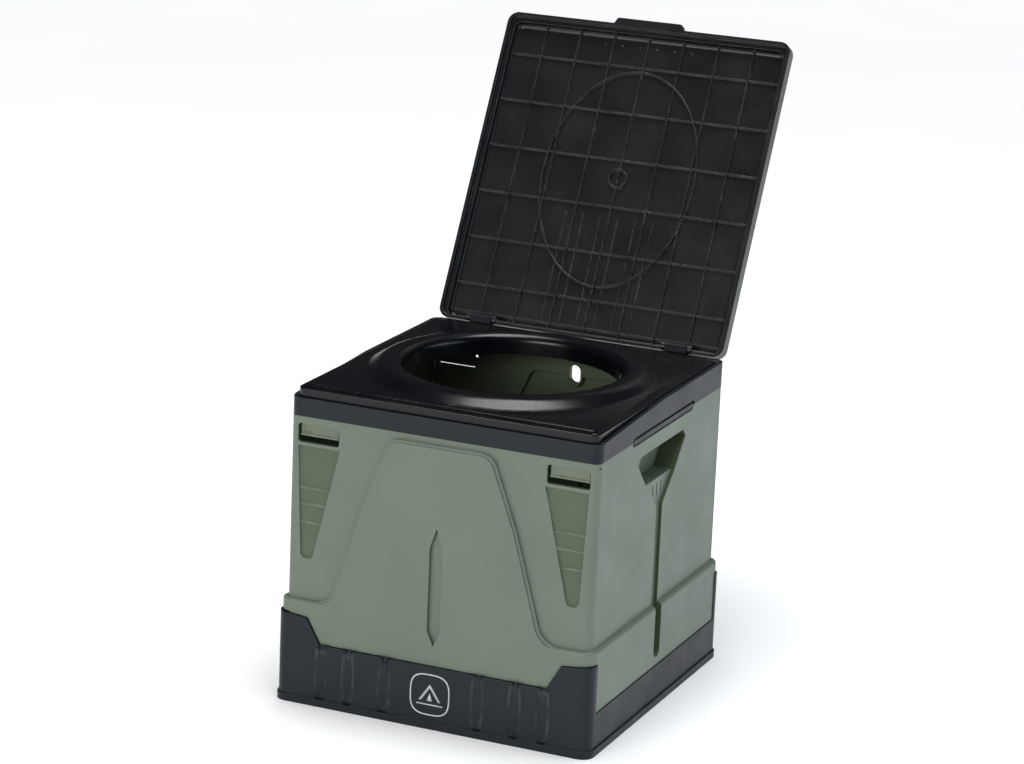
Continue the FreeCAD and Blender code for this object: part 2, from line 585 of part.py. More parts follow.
def make_top_frame():
    body = new_body("top_frame")
    skirt = ("frame_half_x-frame_skin", "frame_half_y-frame_skin")
    block(body, "Pad", "XY_Plane", "skirt", "frame_foot", "frame_ledge",
          box("-frame_half_x", "frame_half_x", "-frame_half_y", "frame_half_y", "frame_corner"))
    block(body, "Pocket", "XY_Plane", "underside", "frame_foot-1", "frame_ledge-frame_skin",
          box(f"-({skirt[0]})", skirt[0], f"-({skirt[1]})", skirt[1], "frame_corner-frame_skin"))
    block(body, "Pocket", "XY_Plane", "mouth", "frame_foot", "frame_ledge+1",
          box("-frame_mouth", "frame_mouth", "-frame_mouth", "frame_mouth", "40"))
    slope = [("-frame_half_y+frame_corner", "frame_ledge-1"), ("frame_half_y-frame_corner", "frame_ledge-1"),
             ("frame_half_y-frame_corner", "frame_rear"), ("0", "frame_rear"),
             ("-frame_half_y+frame_corner", "frame_ledge+0.8")]
    for side in (-1, 1):
        block(body, "Pad", "YZ_Plane", f"cheek_{side + 1}", f"{side}*(plate_half_x+0.4)",
              f"{side}*frame_half_x", slope)
        add_seat_boss(body, side)
    block(body, "Pocket", "YZ_Plane", "bar_slots", "-frame_half_x-1", "frame_half_x+1", bar_slot())
    for side in (-1, 1):
        add_catch_bar(body, side)
    rear = [("-frame_half_x", "frame_half_y", "frame_corner"), ("-frame_half_x", "frame_half_y-12"),
            ("-frame_half_x+4.1", "frame_half_y-12"), ("-frame_half_x+4.1", "seat_axis_y+4.8"),
            ("frame_half_x-4.1", "seat_axis_y+4.8"), ("frame_half_x-4.1", "frame_half_y-12"),
            ("frame_half_x", "frame_half_y-12"), ("frame_half_x", "frame_half_y", "frame_corner")]
    block(body, "Pad", "XY_Plane", "rear_strip", "frame_ledge-1", "frame_rear", rear)

    def draw_pilots(sketch):
        for side in (-1, 1):
            for end in (-1, 1):
                circle(sketch, f"{side}*clip_x+{end}*screw_shift", "screw_z", "screw_radius")
    extrude(body, "Pocket", "XZ_Plane", "pilots", "frame_half_y-frame_skin-1", "frame_half_y+1", draw_pilots)
    return body


def add_catch_bar(body, side):
    """The bar that lies in its slot across the seam, and the thin plate that carries it."""
    plate = box("-bar_half+0.6", "bar_half-0.6", "frame_foot-bar_radius+0.6", "frame_foot+bar_radius+1", "3")
    block(body, "Pad", "YZ_Plane", f"bar_plate_{side + 1}", f"{side}*(frame_half_x-frame_skin)",
          f"{side}*(frame_half_x-frame_skin+1.2)", plate)
    bar = box("-bar_half+3.4", "bar_half-3.4", "frame_foot-1.8", "frame_foot+1.8", "1.7")
    block(body, "Pad", "YZ_Plane", f"catch_bar_{side + 1}", f"{side}*(frame_half_x-frame_skin+1)",
          f"{side}*(frame_half_x-0.5)", bar)


def add_seat_boss(body, side):
    """The boss at a rear corner that holds a seat hinge pin."""
    def draw(sketch):
        lug(sketch, "seat_axis_y", "frame_ledge-1", "seat_axis_z", "4", "seat_pin")
    extrude(body, "Pad", "YZ_Plane", f"boss_{side + 1}", f"{side}*(seat_barrel_half+0.4)",
            f"{side}*(plate_half_x+1)", draw)


# ---------------------------------------------------------------- seat plate

def make_seat_plate():
    """A thin plate with a turned-down rim, a raised ring, a front bead and a rear barrel."""
    body = new_body("seat_plate")
    rear = "seat_axis_y"
    block(body, "Pad", "XY_Plane", "plate", "plate_foot", "plate_top",
          [("-plate_half_x", "-plate_front", "plate_corner"),
           ("plate_half_x", "-plate_front", "plate_corner"),
           ("plate_half_x", rear), ("-plate_half_x", rear)])
    soften(body, "crown", "2", lambda e: edge_lies(e, "Z", number("plate_top"))
           and e.BoundBox.YMin < number(rear) - 1)
    rod(body, "Pad", "YZ_Plane", "bead", "-plate_half_x+6", "plate_half_x-6",
        "-bead_y", "plate_top+bead_rise-bead_radius", "bead_radius")
    block(body, "Pocket", "XY_Plane", "underside", "plate_foot-9", "plate_top-plate_skin",
          box("-plate_half_x+plate_skin", "plate_half_x-plate_skin", "-plate_front+plate_skin",
              rear + "-plate_skin", "plate_corner-plate_skin"))
    room = box("seat_barrel_half", "plate_half_x+1", rear + "-4.5", rear + "+1")
    block(body, "Pocket", "XY_Plane", "boss_room", "plate_foot-1", "plate_top+1",
          room, mirrored(room, -1))
    rod(body, "Pocket", "XY_Plane", "mouth", "plate_foot", "plate_top+1", "0", "seat_y", "seat_foot-1")
    rod(body, "Pad", "YZ_Plane", "barrel", "-seat_barrel_half", "seat_barrel_half",
        rear, "seat_axis_z", "seat_barrel")
    rod(body, "Pocket", "YZ_Plane", "barrel_bore", "-seat_barrel_half-1", "seat_barrel_half+1",
        rear, "seat_axis_z", "seat_pin+running")
    add_seat_ring(body)
    return body


def add_seat_ring(body):
    """The raised ring: a thin rounded section turned about the seat's centre."""
    crest, skin = "plate_top+seat_crest", "plate_skin"
    sketch = new_sketch(body, "XZ_Plane", "ring_section", "seat_y")
    outline(sketch, [("seat_mouth", "plate_top-9"), ("seat_mouth+1", crest, "8"),
                     ("seat_mouth+21", crest, "16"), ("seat_foot", "plate_top"),
                     (f"seat_foot-1", f"plate_top-{skin}"),
                     (f"seat_mouth+20", f"{crest}-{skin}", "13"), (f"seat_mouth+4", f"{crest}-{skin}", "5"),
                     ("seat_mouth+3", "plate_top-9")])
    ring = body.newObject("PartDesign::Revolution", "seat_ring")
    ring.Profile = sketch
    ring.ReferenceAxis = (sketch, ["V_Axis"])
    ring.Angle = 360
    ring.Refine = False
    body.Tip = ring


# ---------------------------------------------------------------- lid and its hinges

def lid_turn():
    """The lid is drawn closed; this turns it about its hinge to where it rests open."""
    axis = FreeCAD.Vector(0, number("lid_axis_y"), number("lid_axis_z"))
    turn = FreeCAD.Rotation(FreeCAD.Vector(-1, 0, 0), number("lid_open"))
    return FreeCAD.Placement(FreeCAD.Vector(), turn, axis)


def make_lid():
    body = new_body("lid")
    rear, front = "lid_axis_y", "(lid_axis_y-lid_length)"
    tail = "(lid_axis_y+lid_tail)"
    block(body, "Pad", "XY_Plane", "shell", "lid_foot", "lid_top",
          box("-lid_half_x", "lid_half_x", front, tail, "lid_corner"))
    soften(body, "crown", "4.5", lambda e: edge_lies(e, "Z", number("lid_top")))
    block(body, "Pad", "XY_Plane", "finger_tab", "lid_foot", "lid_foot+7",
          [("-tab_half", front + "+2"), ("-tab_half+4", front + "-tab_reach", "3"),
           ("tab_half-4", front + "-tab_reach", "3"), ("tab_half", front + "+2")])
    block(body, "Pocket", "XY_Plane", "rim_step", "lid_foot-1", "lid_foot+5",
          box("-lid_half_x+lid_skin", "lid_half_x-lid_skin", front + "+lid_skin", tail + "-lid_skin",
              "lid_corner-lid_skin"))
    block(body, "Pocket", "XY_Plane", "cavity", "lid_foot", "lid_top-lid_skin",
          box("-lid_half_x+7", "lid_half_x-7", front + "+8", tail + "-lid_skin-0.5", "lid_corner-4"))
    soften(body, "cavity_cove", "cove", lambda e: edge_lies(e, "Z", number("lid_top-lid_skin")))
    add_lid_ribs(body, front, rear)
    add_lid_ring(body)
    add_lid_ears(body)
    body.Placement = lid_turn()
    return body


def add_lid_ribs(body, front, rear):
    """The square grid, with six finer ribs near the hinge and six drain holes near the front."""
    low, high = "(lid_top-lid_skin+0.5)", "lid_top-lid_skin-rib_deep"
    across = []
    for row in range(6):
        middle = f"{rear}-rib_first-{row}*rib_pitch"
        across.append(box("-lid_half_x+6", "lid_half_x-6", middle + "-rib_wide/2", middle + "+rib_wide/2"))
    across.append(box("-lid_half_x+6", "lid_half_x-6", f"{rear}-8", f"{rear}-8+rib_wide"))
    block(body, "Pad", "XY_Plane", "cross_ribs", low, high, *across)
    along = []
    for column in range(-3, 4):
        middle = f"{column}*rib_across"
        along.append(box(middle + "-rib_wide/2", middle + "+rib_wide/2", front + "+7", rear + "+1"))
    block(body, "Pad", "XY_Plane", "long_ribs", low, high, *along)
    fine = []
    for step in (-2.5, -1.5, -0.5, 0.5, 1.5, 2.5):
        middle = f"{step}*fine_pitch"
        fine.append(box(middle + "-0.5", middle + "+0.5", rear + "-122", rear + "-12"))
    block(body, "Pad", "XY_Plane", "fine_ribs", low, "lid_top-lid_skin-1.4", *fine)

    def draw_drains(sketch):
        for step in (-2.5, -1.5, -0.5, 0.5, 1.5, 2.5):
            circle(sketch, f"{step}*fine_pitch", front + "+19", "drain")
    extrude(body, "Pocket", "XY_Plane", "drains", "lid_foot", "lid_top+1", draw_drains)


def add_lid_ring(body):
    """The oval rib that follows the seat ring, and the round boss in its middle."""
    low = "(lid_top-lid_skin+0.5)"

    def draw_oval(sketch):
        middle = FreeCAD.Vector(0, number("lid_axis_y-oval_back"), 0)
        for grow in (0, number("rib_wide")):
            long_end = middle + FreeCAD.Vector(0, number("oval_half_long") + grow, 0)
            short_end = middle + FreeCAD.Vector(number("oval_half_wide") + grow, 0, 0)
            sketch.addGeometry(Part.Ellipse(long_end, short_end, middle))
    extrude(body, "Pad", "XY_Plane", "oval_rib", low, "lid_top-lid_skin-rib_deep-0.6", draw_oval)

    def draw_boss(sketch):
        for radius in ("boss_radius", "boss_radius-rib_wide"):
            circle(sketch, "0", "lid_axis_y-oval_back", radius)
    extrude(body, "Pad", "XY_Plane", "boss", low, "lid_top-lid_skin-rib_deep-1", draw_boss)


def add_lid_ears(body):
    """Two ears a side that hold the lid's hinge pins, and the gap for each clip between them."""
    room = box("clip_x-clip_half-0.4", "clip_x+clip_half+0.4", "lid_foot-1", "lid_axis_z+5.4")
    block(body, "Pocket", "XZ_Plane", "clip_rooms", "lid_axis_y+lid_tail+1", "lid_axis_y-8",
          room, mirrored(room, -1))
    for side in (-1, 1):
        for end in (-1, 1):
            near, far = f"{side}*clip_x+{end}*(clip_half+0.4)", f"{side}*clip_x+{end}*ear_half"
            rod(body, "Pad", "YZ_Plane", f"ear_{side + 1}_{end + 1}", near, far,
                "lid_axis_y", "lid_axis_z", "ear_radius")
        rod(body, "Pocket", "YZ_Plane", f"ear_bore_{side + 1}", f"{side}*clip_x-ear_half",
            f"{side}*clip_x+ear_half", "lid_axis_y", "lid_axis_z", "lid_pin")


def make_clip(label, side):
    """A clip screwed to the frame's rear wall; its barrel turns on the lid's pin."""
    body = new_body(label)
    low, high = f"{side}*clip_x-clip_half", f"{side}*clip_x+clip_half"
    block(body, "Pad", "YZ_Plane", "foot", low, high,
          box("frame_half_y", "frame_half_y+clip_skin", "frame_ledge-11", "lid_axis_z"))
    rod(body, "Pad", "YZ_Plane", "barrel", low, high, "lid_axis_y", "lid_axis_z", "ear_radius")
    block(body, "Pad", "YZ_Plane", "face_plate", low, high,
          box("lid_axis_y-6", "lid_axis_y-3.4", "lid_axis_z-3.4", "lid_axis_z+4.8", "0.8"))
    rod(body, "Pocket", "YZ_Plane", "bore", low, high, "lid_axis_y", "lid_axis_z", "lid_pin+running")
    for end in (-1, 1):
        rod(body, "Pocket", "XZ_Plane", f"hole_{end + 1}", "frame_half_y-1", "frame_half_y+6",
            f"{side}*clip_x+{end}*screw_shift", "screw_z", "screw_radius")
    return body


def make_clip_screws():
    """Four pan-head screws, two through each clip."""
    screws = []
    for side in (-1, 1):
        for end in (-1, 1):
            seat = FreeCAD.Vector(number(f"{side}*clip_x+{end}*screw_shift"),
                                  number("frame_half_y+clip_skin"), number("screw_z"))
            head = Part.makeCylinder(3, 1.8, seat, FreeCAD.Vector(0, 1, 0))
            head = head.makeFillet(0.8, [e for e in head.Edges if edge_lies(e, "Y", seat.y + 1.8)])
            shank = Part.makeCylinder(number("screw_radius"), 9, seat, FreeCAD.Vector(0, -1, 0))
            slot = Part.makeBox(4.4, 2, 0.8, seat + FreeCAD.Vector(-2.2, 1.1, -0.4))
            screws.append(head.fuse(shank).cut(slot))
    group = doc.addObject("Part::Feature", "clip_screws")
    group.Label = "clip_screws"
    group.Shape = Part.makeCompound(screws)
    bodies["clip_screws"] = group


# ---------------------------------------------------------------- build, check and write

def build():
    make_base_tray()
    make_end_wall("front_wall", False)
    make_end_wall("rear_wall", True)
    make_side_wall("right_wall", 1)
    make_side_wall("left_wall", -1)
    for end, rear in (("front", False), ("rear", True)):
        for name, side in (("left", -1), ("right", 1)):
            make_latch(f"latch_{end}_{name}", -side if rear else side, rear)
    make_all_rods()
    make_top_frame()
    make_seat_plate()
    make_lid()
    make_clip("lid_clip_left", -1)
    make_clip("lid_clip_right", 1)
    make_clip_screws()
    doc.recompute()


def check():
    """Stops on any failed object, on a cut that removed nothing and on a bad shape."""
    for item in doc.Objects:
        if "Invalid" in item.State or "Error" in item.State:
            raise RuntimeError(f"{item.Name} failed: {item.State}")
    for item in doc.Objects:
        if item.TypeId == "PartDesign::Pocket" and item.BaseFeature is not None:
            if item.Shape.Volume > item.BaseFeature.Shape.Volume - 0.01:
                raise RuntimeError(f"{item.Name} cut nothing")
    for label, item in bodies.items():
        if item.Shape.isNull() or not item.Shape.isValid():
            raise RuntimeError(f"{label} is not a valid shape")


def write():
    for label, item in bodies.items():
        piece = item.Shape.removeSplitter()
        piece.exportStep(f"parts/{label}.step")
        print(label, "solids", len(piece.Solids), "volume", round(piece.Volume / 1000, 1))


build()
check()
write()
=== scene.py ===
import math

import bmesh
import bpy
from mathutils import Matrix, Vector


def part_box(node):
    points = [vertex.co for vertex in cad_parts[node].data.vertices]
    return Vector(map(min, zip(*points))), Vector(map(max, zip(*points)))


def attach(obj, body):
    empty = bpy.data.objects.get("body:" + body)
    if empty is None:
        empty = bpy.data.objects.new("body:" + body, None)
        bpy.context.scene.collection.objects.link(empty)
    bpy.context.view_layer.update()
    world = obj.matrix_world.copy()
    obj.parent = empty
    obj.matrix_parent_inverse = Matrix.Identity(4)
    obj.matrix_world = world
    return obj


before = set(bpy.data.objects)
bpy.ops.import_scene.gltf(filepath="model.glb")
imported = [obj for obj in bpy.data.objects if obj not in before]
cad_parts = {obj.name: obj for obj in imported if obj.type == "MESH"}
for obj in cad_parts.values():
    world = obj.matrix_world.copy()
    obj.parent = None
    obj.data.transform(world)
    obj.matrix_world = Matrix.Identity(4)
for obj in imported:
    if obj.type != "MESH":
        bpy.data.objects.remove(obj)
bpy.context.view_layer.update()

MM = 0.001

# Positions of the colour sockets on Blender's Mix node.
COLOUR_A, COLOUR_B, COLOUR_RESULT = 6, 7, 2

# ---------------------------------------------------------------- material nodes


class Nodes:
    """Short names for adding nodes to a material and joining them."""

    def __init__(self, name):
        self.material = bpy.data.materials.new(name)
        self.material.use_nodes = True
        self.tree = self.material.node_tree
        self.shader = self.tree.nodes["Principled BSDF"]

    def add(self, kind, **settings):
        node = self.tree.nodes.new(kind)
        for key, value in settings.items():
            setattr(node, key, value)
        return node

    def join(self, source, target):
        self.tree.links.new(source, target)

    def place(self):
        """The point being shaded, in metres from the node's origin."""
        return self.add("ShaderNodeTexCoord").outputs["Object"]

    def noise(self, scale, detail=3.0, rough=0.5):
        """Clouds of about 1 / scale metres across, running from 0 to 1."""
        node = self.add("ShaderNodeTexNoise")
        node.inputs["Scale"].default_value = scale
        node.inputs["Detail"].default_value = detail
        node.inputs["Roughness"].default_value = rough
        self.join(self.place(), node.inputs["Vector"])
        return node.outputs["Fac"]

    def ramp(self, source, low, high, start=0.0, stop=1.0):
        """Maps a source running from start to stop onto low to high, and holds it there outside."""
        node = self.add("ShaderNodeMapRange")
        self.join(source, node.inputs["Value"])
        node.inputs["From Min"].default_value = start
        node.inputs["From Max"].default_value = stop
        node.inputs["To Min"].default_value = low
        node.inputs["To Max"].default_value = high
        return node.outputs["Result"]

    def mix(self, factor, first, second):
        """Blends two colours, each a tuple or another node's output."""
        node = self.add("ShaderNodeMix", data_type="RGBA")
        self.join(factor, node.inputs["Factor"])
        for index, colour in ((COLOUR_A, first), (COLOUR_B, second)):
            if isinstance(colour, tuple):
                node.inputs[index].default_value = (*colour, 1.0)
            else:
                self.join(colour, node.inputs[index])
        return node.outputs[COLOUR_RESULT]

    def bump(self, source, strength, distance, before=None):
        """A normal pushed about by a height, on top of the normal before it."""
        node = self.add("ShaderNodeBump")
        node.inputs["Strength"].default_value = strength
        node.inputs["Distance"].default_value = distance
        self.join(source, node.inputs["Height"])
        if before is not None:
            self.join(before, node.inputs["Normal"])
        return node.outputs["Normal"]

    def soft_corner(self, radius):
        """A normal that turns smoothly over every corner within the radius."""
        node = self.add("ShaderNodeBevel", samples=6)
        node.inputs["Radius"].default_value = radius
        return node.outputs["Normal"]

    def edges(self, rounded):
        """White where the rounded normal leaves the flat one, black elsewhere."""
        flat = self.add("ShaderNodeNewGeometry")
        dot = self.add("ShaderNodeVectorMath", operation="DOT_PRODUCT")
        self.join(rounded, dot.inputs[0])
        self.join(flat.outputs["Normal"], dot.inputs[1])
        well_turned, straight = 0.80, 0.99
        return self.ramp(dot.outputs["Value"], 1.0, 0.0, well_turned, straight)


def moulded_plastic(name, colour, rough, grain_height, edge_wear_and_highlight, corner=0.9, gloss=0.5):
    """Moulded plastic: fine spark-eroded grain, cloudy sheen, slight colour drift, and pale edges that
    are partly rubbed wear and partly a painted highlight.

    corner is the radius in millimetres over which the edges look rounded, gloss the mirror level.
    """
    nodes = Nodes(name)
    # The colour drifts slowly, with paler specks; the edges are pale in patches, partly rubbed wear and
    # partly a painted highlight.
    drift = nodes.ramp(nodes.noise(9.0, 4.0, 0.55), 0.0, 1.0, 0.35, 0.68)
    dark, light, pale = (tuple(c * level for c in colour) for level in (0.94, 1.06, 1.22))
    body = nodes.mix(drift, dark, light)
    speck = nodes.ramp(nodes.noise(900.0, 2.0, 0.6), 0.0, 0.3, 0.55, 0.8)
    body = nodes.mix(speck, body, pale)
    rounded = nodes.soft_corner(corner * MM)
    patchy = nodes.ramp(nodes.noise(60.0, 5.0, 0.7), 0.2, 0.75, 0.42, 0.62)
    rubbed_and_highlit = nodes.add("ShaderNodeMath", operation="MULTIPLY")
    nodes.join(nodes.edges(rounded), rubbed_and_highlit.inputs[0])
    nodes.join(patchy, rubbed_and_highlit.inputs[1])
    body = nodes.mix(rubbed_and_highlit.outputs[0], body, edge_wear_and_highlight)
    nodes.join(body, nodes.shader.inputs["Base Color"])
    # The sheen is cloudy.
    smear = nodes.noise(22.0, 6.0, 0.62)
    sheen = nodes.ramp(smear, rough - 0.05, rough + 0.07, 0.3, 0.7)
    nodes.join(sheen, nodes.shader.inputs["Roughness"])
    # The surface is slightly wavy under a fine grain.
    waves = nodes.bump(nodes.noise(14.0, 2.0, 0.4), 0.10, 0.4 * MM, rounded)
    grain = nodes.noise(1500.0, 2.0, 0.5)
    nodes.join(nodes.bump(grain, 0.35, grain_height, waves), nodes.shader.inputs["Normal"])
    nodes.shader.inputs["Specular IOR Level"].default_value = gloss
    return nodes.material


def drawn_steel(name):
    """Bright drawn wire: a cloudy tone, a finely roughened skin and a few dull patches."""
    nodes = Nodes(name)
    nodes.shader.inputs["Metallic"].default_value = 1.0
    tone = nodes.ramp(nodes.noise(120.0, 4.0, 0.6), 0.0, 1.0, 0.35, 0.65)
    body = nodes.mix(tone, (0.46, 0.47, 0.49), (0.68, 0.69, 0.71))
    nodes.join(body, nodes.shader.inputs["Base Color"])
    nodes.join(nodes.ramp(nodes.noise(260.0, 3.0), 0.22, 0.42), nodes.shader.inputs["Roughness"])
    nodes.join(nodes.bump(nodes.noise(1400.0, 2.0), 0.2, 0.05 * MM), nodes.shader.inputs["Normal"])
    return nodes.material


def printed_ink(name):
    """Pale grey pad-printed ink with slightly broken cover."""
    nodes = Nodes(name)
    cover = nodes.ramp(nodes.noise(700.0, 3.0, 0.7), 0.0, 1.0, 0.3, 0.6)
    body = nodes.mix(cover, (0.30, 0.31, 0.33), (0.52, 0.53, 0.55))
    nodes.join(body, nodes.shader.inputs["Base Color"])
    nodes.join(nodes.ramp(nodes.noise(300.0), 0.42, 0.6), nodes.shader.inputs["Roughness"])
    nodes.join(nodes.bump(nodes.noise(1500.0), 0.2, 0.04 * MM), nodes.shader.inputs["Normal"])
    return nodes.material


def pale_floor(name):
    """A pale studio floor that glows more and more away from the object, until it is white."""
    nodes = Nodes(name)
    tone = nodes.ramp(nodes.noise(3.0, 2.0), 0.0, 1.0, 0.3, 0.7)
    body = nodes.mix(tone, (0.88, 0.88, 0.885), (0.90, 0.90, 0.905))
    nodes.join(body, nodes.shader.inputs["Base Color"])
    nodes.shader.inputs["Roughness"].default_value = 0.75
    distance = nodes.add("ShaderNodeVectorMath", operation="LENGTH")
    nodes.join(nodes.place(), distance.inputs[0])
    nodes.shader.inputs["Emission Color"].default_value = (1.0, 1.0, 1.0, 1.0)
    brightest, near, far = 0.45, 0.6, 5.0
    glow = nodes.ramp(distance.outputs["Value"], 0.0, brightest, near, far)
    nodes.join(glow, nodes.shader.inputs["Emission Strength"])
    return nodes.material


FINE_GRAIN = 0.05 * MM
COARSE_GRAIN = 0.10 * MM
POLISHED_GRAIN = 0.02 * MM

# Arguments in order: colour, roughness, height of the grain, colour of the pale edges (partly rubbed
# wear, partly painted highlight).
green = moulded_plastic(
    "green_plastic", (0.106, 0.136, 0.102), 0.44, FINE_GRAIN, (0.27, 0.33, 0.26))
# Recess floors: a rougher grain, a darker colour that is painted shade in the recesses, and pale edges
# that are a painted highlight on the wedge outlines.
recess_green_and_shade = moulded_plastic(
    "recess_green_and_shade", (0.080, 0.107, 0.068), 0.62, COARSE_GRAIN, (0.50, 0.57, 0.46), gloss=0.25)
# Grip flanks: the wall's plastic painted darker, as painted shade deep in the hand-hold.
flank_painted_shade = moulded_plastic(
    "flank_painted_shade", (0.062, 0.085, 0.044), 0.62, COARSE_GRAIN, (0.20, 0.25, 0.17), gloss=0.25)
# Inner faces of the walls: their own tone, set to how bright the inside looks, as painted light.
inner_green_painted_light = moulded_plastic(
    "inner_green_painted_light", (0.105, 0.132, 0.080), 0.55, FINE_GRAIN, (0.30, 0.35, 0.25), gloss=0.3)
# Latch tongues: a slightly darker tone as painted shade in their windows, and pale edges as a painted
# highlight along their lips.
latch_green = moulded_plastic(
    "latch_green", (0.105, 0.134, 0.088), 0.42, FINE_GRAIN, (0.42, 0.47, 0.39))
charcoal = moulded_plastic(
    "charcoal_plastic", (0.0030, 0.0060, 0.0100), 0.42, FINE_GRAIN, (0.065, 0.072, 0.085), gloss=0.30)
seat_black = moulded_plastic(
    "seat_black", (0.0010, 0.0014, 0.0028), 0.24, POLISHED_GRAIN, (0.05, 0.053, 0.058),
    corner=0.8, gloss=0.34)
# The lid's pale edge colour is a painted highlight along its ribs and rim edges.
lid_black = moulded_plastic(
    "lid_black", (0.0038, 0.0048, 0.0062), 0.33, POLISHED_GRAIN, (0.24, 0.25, 0.27),
    corner=0.6, gloss=0.46)
steel = drawn_steel("drawn_steel")
ink = printed_ink("printed_ink")

FINISHES = {
    "base_tray": charcoal, "top_frame": charcoal, "lid_clip_left": charcoal, "lid_clip_right": charcoal,
    "front_wall": green, "rear_wall": green, "left_wall": green, "right_wall": green,
    "latch_front_left": latch_green, "latch_front_right": latch_green,
    "latch_rear_left": latch_green, "latch_rear_right": latch_green,
    "seat_plate": seat_black, "lid": lid_black,
    "left_fold_rods": steel, "right_fold_rods": steel,
    "front_pivot_pins": steel, "rear_pivot_pins": steel,
    "seat_hinge_pins": steel, "lid_hinge_pins": steel, "clip_screws": steel,
}

# ---------------------------------------------------------------- CAD nodes

# Blender narrows this where it would make neighbouring edges overlap.
EDGE_RADIUS = 0.3 * MM


def dress(node):
    """Gives a CAD node its material, welded smooth shading and small moulded radii on its edges."""
    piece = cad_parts[node]
    piece.data.materials.clear()
    piece.data.materials.append(FINISHES[node])
    weld = piece.modifiers.new("weld", "WELD")
    weld.merge_threshold = 0.01 * MM
    bevel = piece.modifiers.new("edge_radii", "BEVEL")
    bevel.width = EDGE_RADIUS
    bevel.segments = 2
    bevel.limit_method = "ANGLE"
    bevel.angle_limit = math.radians(35)
    bevel.use_clamp_overlap = True
    bevel.harden_normals = False
    smooth = piece.modifiers.new("shading", "WEIGHTED_NORMAL")
    smooth.keep_sharp = False
    for face in piece.data.polygons:
        face.use_smooth = True


def paint(node, material, wanted):
    """Gives the faces of a node that wanted(centre, normal) picks a second material."""
    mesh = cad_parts[node].data
    mesh.materials.append(material)
    for face in mesh.polygons:
        if wanted(face.center, face.normal):
            face.material_index = len(mesh.materials) - 1


def within(value, low, high):
    """True when the value's size lies between two lengths in millimetres."""
    return low * MM < abs(value) < high * MM


def in_wedge(centre, _normal):
    """True on the floor of the tapered recesses under the latch windows, and low on their sides."""
    below_skin = within(centre.y, 151.0, 153.9)
    return below_skin and within(centre.x, 101.8, 144.6) and within(centre.z, 138.5, 249.5)


def in_shaded_grip_flank(centre, normal):
    """True on the flanks of the funnel-shaped hand-hold and its stem, which get painted shade."""
    inside = within(centre.x, 129, 157.2) and within(centre.y, 0, 60) and centre.z > 47 * MM
    return inside and abs(normal.y) > 0.3


def faces_in(centre, normal):
    """True on the inner side of a wall: it looks towards the middle from within the skin."""
    inner_x, inner_y, mostly = 150.2 * MM, 156.5 * MM, 0.7
    along_x = abs(centre.x) < inner_x and normal.x * centre.x < 0 and abs(normal.x) > mostly
    along_y = abs(centre.y) < inner_y and normal.y * centre.y < 0 and abs(normal.y) > mostly
    return along_x or along_y


for node_name in FINISHES:
    dress(node_name)
for node_name in ("front_wall", "rear_wall"):
    # Painted shade on the floors of the recesses under the latch windows.
    paint(node_name, recess_green_and_shade, in_wedge)
    # Painted light: the inner faces take their own tone.
    paint(node_name, inner_green_painted_light, faces_in)
for node_name in ("left_wall", "right_wall"):
    # Painted light: the inner faces take their own tone.
    paint(node_name, inner_green_painted_light, faces_in)
    # Painted shade on the flanks of the hand-hold.
    paint(node_name, flank_painted_shade, in_shaded_grip_flank)

# ---------------------------------------------------------------- small printed and moulded details


def new_piece(name, mesh_builder, material, body):
    """Makes a piece from a bmesh builder, and lets it ride on a body."""
    mesh = bpy.data.meshes.new(name)
    shape = bmesh.new()
    mesh_builder(shape)
    bmesh.ops.recalc_face_normals(shape, faces=shape.faces)
    shape.to_mesh(mesh)
    shape.free()
    for face in mesh.polygons:
        face.use_smooth = True
    piece = bpy.data.objects.new(name, mesh)
    bpy.context.scene.collection.objects.link(piece)
    mesh.materials.append(material)
    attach(piece, body)
    return piece


def slab(shape, outline, low, high, place):
    """A closed slab: the outline at two depths, joined by walls. place maps (across, up, depth)."""
    front = [shape.verts.new(place(x, z, high)) for x, z in outline]
    back = [shape.verts.new(place(x, z, low)) for x, z in outline]
    shape.faces.new(front)
    shape.faces.new(list(reversed(back)))
    for index in range(len(outline)):
        after = (index + 1) % len(outline)
        shape.faces.new((front[index], back[index], back[after], front[after]))


def band(shape, outer, inner, low, high, place):
    """A closed ring between two outlines with the same number of points."""
    loops = []
    for outline, depth in ((outer, high), (inner, high), (inner, low), (outer, low)):
        loops.append([shape.verts.new(place(x, z, depth)) for x, z in outline])
    count = len(outer)
    for step in range(4):
        here, there = loops[step], loops[(step + 1) % 4]
        for index in range(count):
            after = (index + 1) % count
            shape.faces.new((here[index], here[after], there[after], there[index]))


PLINTH_STEP = 1.5 * MM
tray_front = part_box("base_tray")[0].y + PLINTH_STEP


def on_tray_front(x, z, depth):
    """A point on the tray's front face, depth proud of it."""
    return Vector((x, tray_front - depth, z))


def round_outline(centre_z, half_x, half_z, power, count=48):
    """A soft-cornered outline: a superellipse, round at power 2 and squarer above it."""
    points = []
    for index in range(count):
        angle = 2 * math.pi * index / count
        c, s = math.cos(angle), math.sin(angle)
        points.append((half_x * math.copysign(abs(c) ** (2 / power), c),
                       centre_z + half_z * math.copysign(abs(s) ** (2 / power), s)))
    return points


INK_BACK, INK_FRONT = -0.1 * MM, 0.12 * MM


